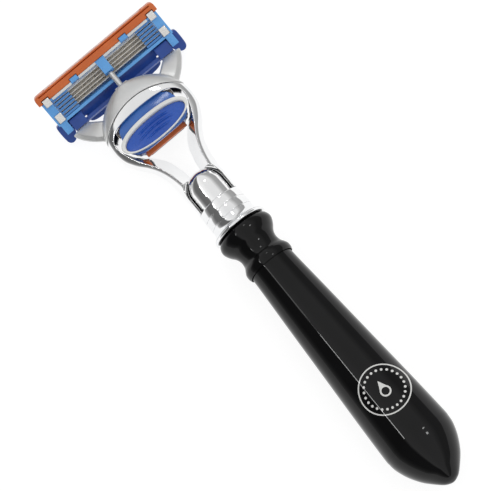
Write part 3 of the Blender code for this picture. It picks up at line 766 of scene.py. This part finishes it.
def make_skirt():
    """The button's flat skirt, its flanges, and the posts that reach down to the ejector."""
    half = SKIRT_HALF_WIDTH
    side = [(0, 31.6), (6.6, 31.8), (9.0, 33.1), (10.1, 34.8), (10.5, 36.0), (10.0, 37.0), (half, 37.9),
            (half, 38.6), (8.3, 40.8), (6.4, 42.0), (3.4, 42.6), (0, 42.7)]
    skirt = plate("skirt_shell", mirrored(smooth_side(side, 5)), SKIRT_BOTTOM, SKIRT_TOP, "blue_plastic")
    root = SKIRT_BOTTOM + 0.2
    foot = -1.2
    for x in (-4.2, 4.2):
        low = (x - 1.2, 33.6, EJECTOR_TOP + GAP)
        join(skirt, block("post_tool", low, (x + 1.2, 37.4, root), "blue_plastic"))
    join(skirt, block("wall_tool", (-4.6, 33.0, foot), (4.6, 33.9, root), "blue_plastic"))
    wall = [(6.4, 32.3), (8.1, 32.7), (8.9, 33.6), (9.3, 34.7), (9.3, 36.2), (8.6, 36.2), (8.4, 34.9),
            (7.6, 33.6), (6.3, 33.0)]
    for sign in (-1, 1):
        outline = [(sign * x, y) for x, y in wall]
        join(skirt, plate("flange_tool", outline, foot, root, "blue_plastic"))
    settle(bevel(skirt, 0.15), "button", "button_skirt")


def make_rim():
    """The pale rim round the pad: an outer wall, a rounded top and an inner wall."""
    rings = []
    seat = SKIRT_TOP + GAP
    for z, inset in ((seat, 0.75), (4.3, 0.4), (5.1, 0.05), (5.32, 0.1), (5.4, 0.3)):
        edge = oval(BUTTON_HALF_WIDTH - inset, BUTTON_HALF_LENGTH - inset * 0.6, BUTTON_Y)
        rings.append([(x, y, z) for x, y in edge])
    for z, inset, shorter in ((5.4, 1.0, 0.62), (5.2, 1.12, 0.76), (seat, 1.15, 0.8)):
        edge = oval(BUTTON_HALF_WIDTH - inset, BUTTON_HALF_LENGTH - shorter, PAD_Y)
        rings.append([(x, y, z) for x, y in edge])
    settle(loft("rim_shell", rings, "ivory", closed=True, sharp=60), "button", "button_rim")


def make_pad():
    """A dished thumb pad with three curved ridges."""
    outer = BUTTON_HALF_WIDTH - 1.1 - GAP
    length = BUTTON_HALF_LENGTH - 0.8 - GAP
    rows = 34
    ridges = ((-0.9, 3.6), (0.5, 5.4), (1.75, 5.0))   # each ridge's place and half its length
    rings = [[(x, y, SKIRT_TOP + GAP) for x, y in oval(outer, length, PAD_Y)]]
    for k in range(rows):
        size = math.cos(math.pi / 2 * k / rows)
        ring = []
        for x, y in oval(outer * size, length * size, PAD_Y):
            reach = min(1.0, math.hypot(x / outer, (y - PAD_Y) / length))
            dish = PAD_TOP - PAD_DISH * (1 - reach ** 2)
            wave = (y - PAD_Y) + RIDGE_BEND * x * x
            ridge = 0.0
            for centre, half in ridges:
                across = math.exp(-((wave - centre) / RIDGE_WIDTH) ** 2)
                along = 1 / (1 + math.exp((abs(x) - half) * 3))
                ridge = max(ridge, RIDGE_HEIGHT * across * along)
            ring.append((x, y, dish + ridge))
        rings.append(ring)
    pad = loft("pad_shell", rings, "pad", sharp=70)
    settle(pad, "button", "button_pad")


def make_ejector():
    """The orange slide under the button, with the narrower nose that pushes the connector."""
    half = EJECTOR_HALF_WIDTH
    body = block("ejector_shell", (-half, 31.6, EJECTOR_BOTTOM), (half, 49.5, EJECTOR_TOP), "orange")
    front = 50.8
    chin = -4.9
    nose = [(49.3, EJECTOR_BOTTOM), (49.6, chin), (front, chin), (front, EJECTOR_TOP), (49.3, EJECTOR_TOP)]
    join(body, bar("nose_tool", nose, -4.8, 4.8, "orange"))
    settle(bevel(body, 0.18), "button", "ejector")


def make_spring(name, y0, y1, height, radius, wire, turns):
    """A coil from its seat at y0 to y1."""
    per_turn = 28
    sides = 10
    count = int(turns * per_turn)
    rings = []
    for i in range(count + 1):
        turn = 2 * math.pi * i / per_turn
        y = y0 + (y1 - y0) * i / count
        ring = []
        for a, b in circle(wire, sides):
            out = radius + a
            ring.append((out * math.cos(turn), y + b, height + out * math.sin(turn)))
        rings.append(ring)
    spring = settle(loft(name + "_wire", rings, "steel"), "handle", name)
    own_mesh(spring)


def make_plunger():
    """The pin that steadies the cartridge: a collar for its spring and a rounded tip."""
    r = PLUNGER_RADIUS
    tip = PLUNGER_TIP_Y
    profile = [(46.25, 0.9), (46.3, 0.97), (47.05, 0.97), (47.1, r), (54.9, r)]
    for k in range(1, 12):
        turn = math.pi / 2 * k / 12
        y = tip - PLUNGER_NOSE + PLUNGER_NOSE * math.sin(turn)
        profile.append((y, r * math.cos(turn) ** 0.7))
    profile.append((tip, 0.02))
    pin = turned("plunger_shell", profile, "grey_plastic", height=PLUNGER_HEIGHT, segments=48, sharp=50)
    settle(pin, "plunger", "plunger")


# ---------------------------------------------------------------- cartridge

def clip_side(grow):
    """A clip's side view in v and w, or with grow above 0 the room it needs in the housing."""
    t = CLIP_THICKNESS
    low = SKIN_W + 0.1
    back = BACK_W + 0.1 + t
    v0 = 2.2
    v1 = 10.1
    g = grow
    return [
        (v0 - g, low - g), (v1 + g, low - g), (v1 + g, back + g), (v1 - 2.3 - g, back + g),
        (v1 - 2.3 - g, back - t - g), (v1 - t - g, back - t - g), (v1 - t - g, low + t + g),
        (v0 + t + g, low + t + g), (v0 + t + g, back - t - g), (v0 + 2.6 + g, back - t - g),
        (v0 + 2.6 + g, back + g), (v0 - g, back + g),
    ]


def make_housing():
    """The pale blue frame: window, centre rib, hinge ears, tabs and seats, and its four pale rails."""
    skin = SKIN_W + 0.3
    shell = [(1.65, skin), (9.5, skin), (11.4, -2.6), (11.4, -1.3), (9.15, -1.3), (9.15, BACK_W),
             (1.65, BACK_W)]
    housing = bar("housing_shell", shell, -HALF_HOUSING, HALF_HOUSING, "pale_blue", tilted=True)
    bay_low = (-HALF_WINDOW, 2.45, -9)
    bay_high = (HALF_WINDOW, 8.55, 9)
    cut(housing, block("bay_tool", bay_low, bay_high, "pale_blue", tilted=True))
    centre = [(3.95, 0.75), (5.05, 2.65), (6.6, 2.4), (8.8, 1.5), (8.8, 0.75)]
    join(housing, bar("centre_tool", centre, -1.4, 1.4, "pale_blue", tilted=True))
    for sign in (-1, 1):
        x0, x1 = sorted((sign * 17.45, sign * 19.6))
        join(housing, block("ear_tool", (x0, -1.5, -1.5), (x1, 1.9, BACK_W), "pale_blue", tilted=True))
        x0, x1 = sorted((sign * 17, sign * 20.4))
        hole = rod_x("ear_hole_tool", x0, x1, HINGE_HOLE_RADIUS, 0, 0, "pale_blue", tilted=True)
        cut(housing, hole)
        x0 = sign * CLIP_X - CLIP_HALF_WIDTH - CLIP_GAP
        x1 = sign * CLIP_X + CLIP_HALF_WIDTH + CLIP_GAP
        cut(housing, bar("clip_tool", clip_side(CLIP_GAP), x0, x1, "pale_blue", tilted=True))
        low = (sign * TAB_X - 1.15, 8.8, BACK_W - 0.3)
        high = (sign * TAB_X + 1.15, 10.0, BACK_W + 0.3)
        join(housing, block("tab_tool", low, high, "pale_blue", tilted=True))
    seat = [(9.25, -4.0), (11.12, -2.42), (12.0, -3.5), (9.9, -5.2)]
    cut(housing, bar("strip_tool", seat, -16.7, 16.7, "pale_blue", tilted=True))
    settle(bevel(housing, 0.12), "cartridge", "housing")
    for word, x0, x1 in (("outer_left", -16.6, -9.9), ("inner_left", -7.3, -1.5),
                         ("inner_right", 1.5, 7.3), ("outer_right", 9.9, 16.6)):
        low = (x0, 8.45, BACK_W - 0.5)
        high = (x1, 9.22, BACK_W + 0.1)
        strip = block("rail_" + word, low, high, "frost", tilted=True)
        settle(bevel(strip, 0.06), "cartridge")


def make_guard():
    """The soft guard in front of the blades, with a notch for each arm and fins on its skin side."""
    side = [(0, -4.3), (9.0, -4.2), (11.9, -3.6), (12.5, -2.4), (12.65, -1.0), (16.6, -1.0), (17.3, -2.6),
            (18.3, -4.2), (19.6, -4.8), (20.7, -4.2), (21.05, -2.6), (21.05, 0.6), (20.6, 1.4)]
    curve = smooth_side(side, 5) + [(17.2, 1.5), (0, 1.5)]
    guard = plate("guard_shell", mirrored(curve), SKIN_W + 0.4, -1.85, "blue_rubber", tilted=True)
    bevel(guard, 0.35, 3, 50)
    for k in range(FIN_COUNT):
        v = -3.4 + k * FIN_PITCH
        half = 9.0 if k < 3 else 16.0
        fin = [(v, SKIN_W + 0.9), (v + 0.3, SKIN_W + 0.9), (v + 0.2, SKIN_W), (v + 0.1, SKIN_W)]
        join(guard, bar("fin_tool", fin, -half, half, "blue_rubber", tilted=True))
    guard.data.set_sharp_from_angle(angle=math.radians(50))
    settle(guard, "cartridge", "guard")


def make_clips():
    """The two metal clips that hold the blades down."""
    for word, sign in (("left", -1), ("right", 1)):
        x0 = sign * CLIP_X - CLIP_HALF_WIDTH
        x1 = sign * CLIP_X + CLIP_HALF_WIDTH
        clip = bar("clip_shell_" + word, clip_side(0), x0, x1, "clip", tilted=True)
        settle(bevel(clip, 0.12, 3), "cartridge", "clip_" + word)


def make_trimmer():
    """The orange back edge, with notches for clips and tabs, the trimmer's slot and a groove."""
    seat = 9.3
    top = 12.0
    half = 20.7
    corner = 1.1
    steps = 6
    outline = [(-half, seat), (half, seat)]
    for k in range(steps + 1):
        turn = math.pi / 2 * k / steps
        outline.append((half - corner + corner * math.cos(turn), top - corner + corner * math.sin(turn)))
    outline += [(-x, v) for x, v in reversed(outline[2:])]
    carrier = plate("trimmer_shell", outline, -1.15, BACK_W + 0.25, "orange", tilted=True)
    for sign in (-1, 1):
        x0 = sign * CLIP_X - CLIP_HALF_WIDTH - 0.15
        x1 = sign * CLIP_X + CLIP_HALF_WIDTH + 0.15
        cut(carrier, block("notch_tool", (x0, 8, -3), (x1, 10.3, 4), "orange", tilted=True))
        x0 = sign * TAB_X - 1.3
        x1 = sign * TAB_X + 1.3
        cut(carrier, block("tab_tool", (x0, 9, BACK_W - 0.5), (x1, 10.15, 3), "orange", tilted=True))
    cut(carrier, block("slot_tool", (-17.2, 11.0, -0.3), (17.2, 13, 0.5), "orange", tilted=True))
    cut(carrier, block("groove_tool", (-19.4, 11.3, BACK_W - 0.6), (19.4, 11.6, 3), "orange", tilted=True))
    settle(bevel(carrier, 0.16, 3), "cartridge", "trimmer_carrier")


def finish_cad_nodes():
    """The CAD nodes that stay get the same surfaces as the new pieces."""
    wear = {
        "bottom_cover": "dark_plastic", "connector": "blue_rubber", "blade_comb_left": "comb",
        "blade_comb_right": "comb", "lubricating_strip": "lube_strip", "trimmer_blade": "blade",
    }
    for name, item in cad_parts.items():
        surface = wear.get(name, "support" if name.startswith("blade_support") else "blade")
        item.data.materials.clear()
        item.data.materials.append(SURFACES[surface])


# ---------------------------------------------------------------- floor, light and camera

def floor_surface():
    """A pale table that also glows, so that the ground reads as white."""
    s = Surface("pale_floor", roughness=0.9, Emission_Color=(1, 1, 1, 1), Emission_Strength=0.86)
    s.colour(s.ramp(s.noise(3, 3), [(0.3, (0.24, 0.24, 0.24)), (0.7, (0.26, 0.26, 0.26))]))
    return s.material


def make_floor():
    """The floor, just under the razor."""
    size = 2.0
    corners = [(-size, -size, 0), (size, -size, 0), (size, size, 0), (-size, size, 0)]
    shape = bpy.data.meshes.new("floor")
    shape.from_pydata(corners, [], [(0, 1, 2, 3)])
    shape.materials.append(floor_surface())
    floor = bpy.data.objects.new("floor", shape)
    bpy.context.scene.collection.objects.link(floor)
    floor.location.z = -0.0006


def make_light(name, place, size, radiance):
    """A lamp aimed at the razor, with its long side along Y. Radiance is in W per m2 and steradian."""
    lamp = bpy.data.lights.new(name, "AREA")
    lamp.shape = "RECTANGLE"
    lamp.size, lamp.size_y = size
    lamp.energy = radiance * math.pi * size[0] * size[1]
    item = bpy.data.objects.new(name, lamp)
    bpy.context.scene.collection.objects.link(item)
    back = Vector((place[0], 0, place[2] - AXIS_HEIGHT * MM)).normalized()
    along = Vector((0, 1, 0))
    across = along.cross(back)
    turn = Matrix((across, along, back)).transposed().to_4x4()
    item.matrix_world = Matrix.Translation(Vector(place)) @ turn


def make_studio():
    """A soft tent that is dark on one side, a lit floor, and narrow lamps for the long highlights."""
    world = bpy.data.worlds.new("studio")
    bpy.context.scene.world = world
    world.use_nodes = True
    tree = world.node_tree
    background = tree.nodes["Background"]
    place = tree.nodes.new("ShaderNodeTexCoord")
    split = tree.nodes.new("ShaderNodeSeparateXYZ")
    around = tree.nodes.new("ShaderNodeMath")
    around.operation = "ARCTAN2"
    scaled = tree.nodes.new("ShaderNodeMath")
    scaled.operation = "MULTIPLY_ADD"
    scaled.inputs[1].default_value = 1 / (2 * math.pi)
    scaled.inputs[2].default_value = 0.5
    ramp = tree.nodes.new("ShaderNodeValToRGB")
    tree.links.new(place.outputs["Generated"], split.inputs[0])
    tree.links.new(split.outputs[0], around.inputs[0])
    tree.links.new(split.outputs[2], around.inputs[1])
    tree.links.new(around.outputs[0], scaled.inputs[0])
    tree.links.new(scaled.outputs[0], ramp.inputs["Fac"])
    tree.links.new(ramp.outputs["Color"], background.inputs["Color"])
    # The sky's brightness by its angle round Y, in degrees from straight up toward +X.
    stops = ((-180, 0.9), (-92, 0.7), (-80, 0.3), (-68, 0.14), (-34, 0.14), (-27, 1.0), (0, 0.85),
             (40, 0.85), (62, 0.4), (88, 0.35), (96, 0.8), (180, 0.9))
    fill_ramp(ramp.color_ramp, [(0.5 + degrees / 360, (level,) * 3) for degrees, level in stops])
    make_light("line_lamp", (-0.25, 0.085, 0.44), (0.012, 0.1), 26)
    make_light("band_lamp", (-0.235, 0.21, 0.43), (0.035, 0.14), 3)
    make_light("tail_lamp", (0.25, -0.12, 0.4), (0.05, 0.06), 14)
    make_light("neck_lamp", (0.12, 0.3, 0.4), (0.05, 0.05), 10)


def make_camera():
    """The camera looks down on the razor's button side, from 14 degrees towards its tail."""
    elevation = math.radians(76)
    roll = math.radians(-39.97)
    distance = 0.66
    lens = 183.2
    target = Vector((-0.00203, 0.00678, AXIS_HEIGHT * MM))
    back = Vector((0, -math.cos(elevation), math.sin(elevation)))
    lens_data = bpy.data.cameras.new("camera")
    lens_data.lens = lens
    camera = bpy.data.objects.new("camera", lens_data)
    bpy.context.scene.collection.objects.link(camera)
    camera.location = target + back * distance
    turn = (-back).to_track_quat("-Z", "Y").to_matrix().to_4x4()
    camera.rotation_euler = (turn @ Matrix.Rotation(roll, 4, "Z")).to_euler()
    bpy.context.scene.camera = camera


bpy.context.scene.view_settings.view_transform = "Standard"
make_camera()
make_studio()
make_floor()
finish_cad_nodes()
make_grip()
make_collar()
make_post()
make_fork()
make_yoke()
make_skirt()
make_rim()
make_pad()
make_ejector()
make_plunger()
make_spring("plunger_spring", 40.3, 45.9, PLUNGER_HEIGHT, 0.72, 0.14, 8)
make_spring("button_spring", 38.7, 34.2, -0.2, 0.8, 0.15, 6)
make_housing()
make_guard()
make_clips()
make_trimmer()
